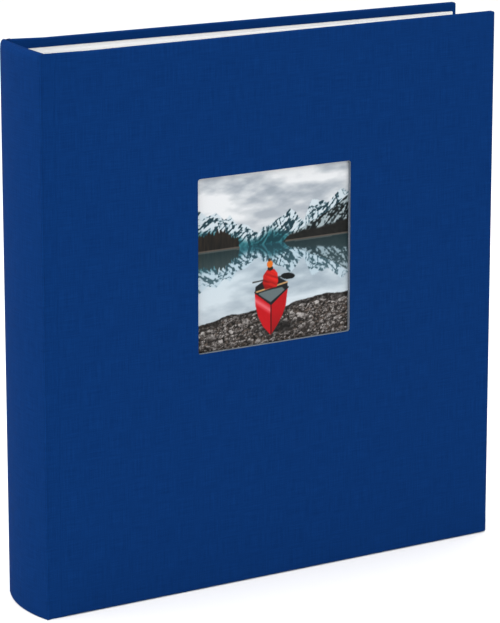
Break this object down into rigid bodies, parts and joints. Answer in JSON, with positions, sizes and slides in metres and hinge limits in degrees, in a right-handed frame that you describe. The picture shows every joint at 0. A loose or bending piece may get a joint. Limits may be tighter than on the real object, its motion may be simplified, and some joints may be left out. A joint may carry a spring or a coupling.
{
  "type": "scrapbook album",
  "caption": "Case-bound scrapbook album in blue linen with a square picture window, stiff card leaves and glassine sheets; both covers hinge and the leaves fan open.",
  "frame": {"origin": "middle of the album's box, on the surface that its tail edges stand on", "axes": "+Z from tail to head, -Y out of the front cover's face, +X from spine to fore-edge"},
  "size_m": [0.2934, 0.0542, 0.31],
  "materials": {
    "blue_linen": "fine linen weave, matt with a faint sheen",
    "grey_board": "raw grey board, fibrous",
    "endpaper": "smooth matt card",
    "leaf_card": "uncoated card",
    "glassine": "translucent, faintly embossed",
    "window_print": "satin photographic print of a mountain lake",
    "backing_card": "plain matt card",
    "kraft_paper": "brown lining paper",
    "cotton_gauze": "open starched weave",
    "cotton_tape": "flat woven tape",
    "band_cloth": "striped woven bead"
  },
  "bodies": {
    "spine": {"spine_cloth": "blue_linen", "spine_liner": "grey_board", "spine_lining_paper": "kraft_paper", "spine_gauze": "cotton_gauze", "sewing_tape_1": "cotton_tape", "sewing_tape_2": "cotton_tape", "sewing_tape_3": "cotton_tape", "guard_block": "leaf_card", "leaf_hinge_folds": "leaf_card", "head_band": "band_cloth", "tail_band": "band_cloth", "front_joint_cloth": "blue_linen", "back_joint_cloth": "blue_linen"},
    "front_cover": {"front_cover_cloth": "blue_linen", "front_board": "grey_board", "front_pastedown": "endpaper", "window_print": "window_print", "window_backing_card": "backing_card"},
    "back_cover": {"back_cover_cloth": "blue_linen", "back_board": "grey_board", "back_pastedown": "endpaper"},
    "front_flyleaf": {"front_flyleaf": "endpaper"},
    "back_flyleaf": {"back_flyleaf": "endpaper"},
    "leaves_01": {"section_01": "leaf_card", "glassine_01": "glassine"},
    "leaves_02": {"section_02": "leaf_card", "glassine_02": "glassine"},
    "leaves_03": {"section_03": "leaf_card", "glassine_03": "glassine"},
    "leaves_04": {"section_04": "leaf_card", "glassine_04": "glassine"},
    "leaves_05": {"section_05": "leaf_card", "glassine_05": "glassine"},
    "leaves_06": {"section_06": "leaf_card", "glassine_06": "glassine"},
    "leaves_07": {"section_07": "leaf_card", "glassine_07": "glassine"},
    "leaves_08": {"section_08": "leaf_card", "glassine_08": "glassine"},
    "leaves_09": {"section_09": "leaf_card", "glassine_09": "glassine"},
    "leaves_10": {"section_10": "leaf_card", "glassine_10": "glassine"},
    "leaves_11": {"section_11": "leaf_card", "glassine_11": "glassine"},
    "leaves_12": {"section_12": "leaf_card", "glassine_12": "glassine"}
  },
  "joints": [
    {"name": "front_cover_hinge", "type": "hinge", "parent": "spine", "child": "front_cover", "pos_m": [-0.13904, -0.0279, 0], "axis": [0, 0, -1], "range_deg": [0, 178], "deforming": ["front_joint_cloth", "leaf_hinge_folds"]},
    {"name": "back_cover_hinge", "type": "hinge", "parent": "spine", "child": "back_cover", "pos_m": [-0.13763, 0.02742, 0], "axis": [0, 0, 1], "range_deg": [0, 178], "deforming": ["back_joint_cloth"]},
    {"name": "front_flyleaf_turn", "type": "hinge", "parent": "spine", "child": "front_flyleaf", "pos_m": [-0.12684, -0.02258, 0], "axis": [0, 0, -1], "range_deg": [0, 130]},
    {"name": "back_flyleaf_turn", "type": "hinge", "parent": "spine", "child": "back_flyleaf", "pos_m": [-0.12684, 0.02222, 0], "axis": [0, 0, 1], "range_deg": [0, 130]},
    {"name": "leaves_01_turn", "type": "hinge", "parent": "spine", "child": "leaves_01", "pos_m": [-0.12684, -0.02041, 0], "axis": [0, 0, -1], "range_deg": [0, 85]},
    {"name": "leaves_02_turn", "type": "hinge", "parent": "spine", "child": "leaves_02", "pos_m": [-0.12684, -0.01673, 0], "axis": [0, 0, -1], "range_deg": [0, 70.83]},
    {"name": "leaves_03_turn", "type": "hinge", "parent": "spine", "child": "leaves_03", "pos_m": [-0.12684, -0.01305, 0], "axis": [0, 0, -1], "range_deg": [0, 56.67]},
    {"name": "leaves_04_turn", "type": "hinge", "parent": "spine", "child": "leaves_04", "pos_m": [-0.12684, -0.00937, 0], "axis": [0, 0, -1], "range_deg": [0, 42.5]},
    {"name": "leaves_05_turn", "type": "hinge", "parent": "spine", "child": "leaves_05", "pos_m": [-0.12684, -0.0057, 0], "axis": [0, 0, -1], "range_deg": [0, 28.33]},
    {"name": "leaves_06_turn", "type": "hinge", "parent": "spine", "child": "leaves_06", "pos_m": [-0.12684, -0.00202, 0], "axis": [0, 0, -1], "range_deg": [0, 14.17]},
    {"name": "leaves_07_turn", "type": "hinge", "parent": "spine", "child": "leaves_07", "pos_m": [-0.12684, 0.00166, 0], "axis": [0, 0, 1], "range_deg": [0, 14.17]},
    {"name": "leaves_08_turn", "type": "hinge", "parent": "spine", "child": "leaves_08", "pos_m": [-0.12684, 0.00534, 0], "axis": [0, 0, 1], "range_deg": [0, 28.33]},
    {"name": "leaves_09_turn", "type": "hinge", "parent": "spine", "child": "leaves_09", "pos_m": [-0.12684, 0.00902, 0], "axis": [0, 0, 1], "range_deg": [0, 42.5]},
    {"name": "leaves_10_turn", "type": "hinge", "parent": "spine", "child": "leaves_10", "pos_m": [-0.12684, 0.0127, 0], "axis": [0, 0, 1], "range_deg": [0, 56.67]},
    {"name": "leaves_11_turn", "type": "hinge", "parent": "spine", "child": "leaves_11", "pos_m": [-0.12684, 0.01638, 0], "axis": [0, 0, 1], "range_deg": [0, 70.83]},
    {"name": "leaves_12_turn", "type": "hinge", "parent": "spine", "child": "leaves_12", "pos_m": [-0.12684, 0.02006, 0], "axis": [0, 0, 1], "range_deg": [0, 85]}
  ],
  "couplings": [
    {"joint": "front_flyleaf_turn", "follows": "front_cover_hinge", "ratio": 0.73033},
    {"joint": "back_flyleaf_turn", "follows": "back_cover_hinge", "ratio": 0.73033},
    {"joint": "leaves_01_turn", "follows": "front_cover_hinge", "ratio": 0.47752},
    {"joint": "leaves_02_turn", "follows": "front_cover_hinge", "ratio": 0.39794},
    {"joint": "leaves_03_turn", "follows": "front_cover_hinge", "ratio": 0.31835},
    {"joint": "leaves_04_turn", "follows": "front_cover_hinge", "ratio": 0.23876},
    {"joint": "leaves_05_turn", "follows": "front_cover_hinge", "ratio": 0.15917},
    {"joint": "leaves_06_turn", "follows": "front_cover_hinge", "ratio": 0.07958},
    {"joint": "leaves_07_turn", "follows": "back_cover_hinge", "ratio": 0.07958},
    {"joint": "leaves_08_turn", "follows": "back_cover_hinge", "ratio": 0.15917},
    {"joint": "leaves_09_turn", "follows": "back_cover_hinge", "ratio": 0.23876},
    {"joint": "leaves_10_turn", "follows": "back_cover_hinge", "ratio": 0.31835},
    {"joint": "leaves_11_turn", "follows": "back_cover_hinge", "ratio": 0.39794},
    {"joint": "leaves_12_turn", "follows": "back_cover_hinge", "ratio": 0.47752}
  ]
}
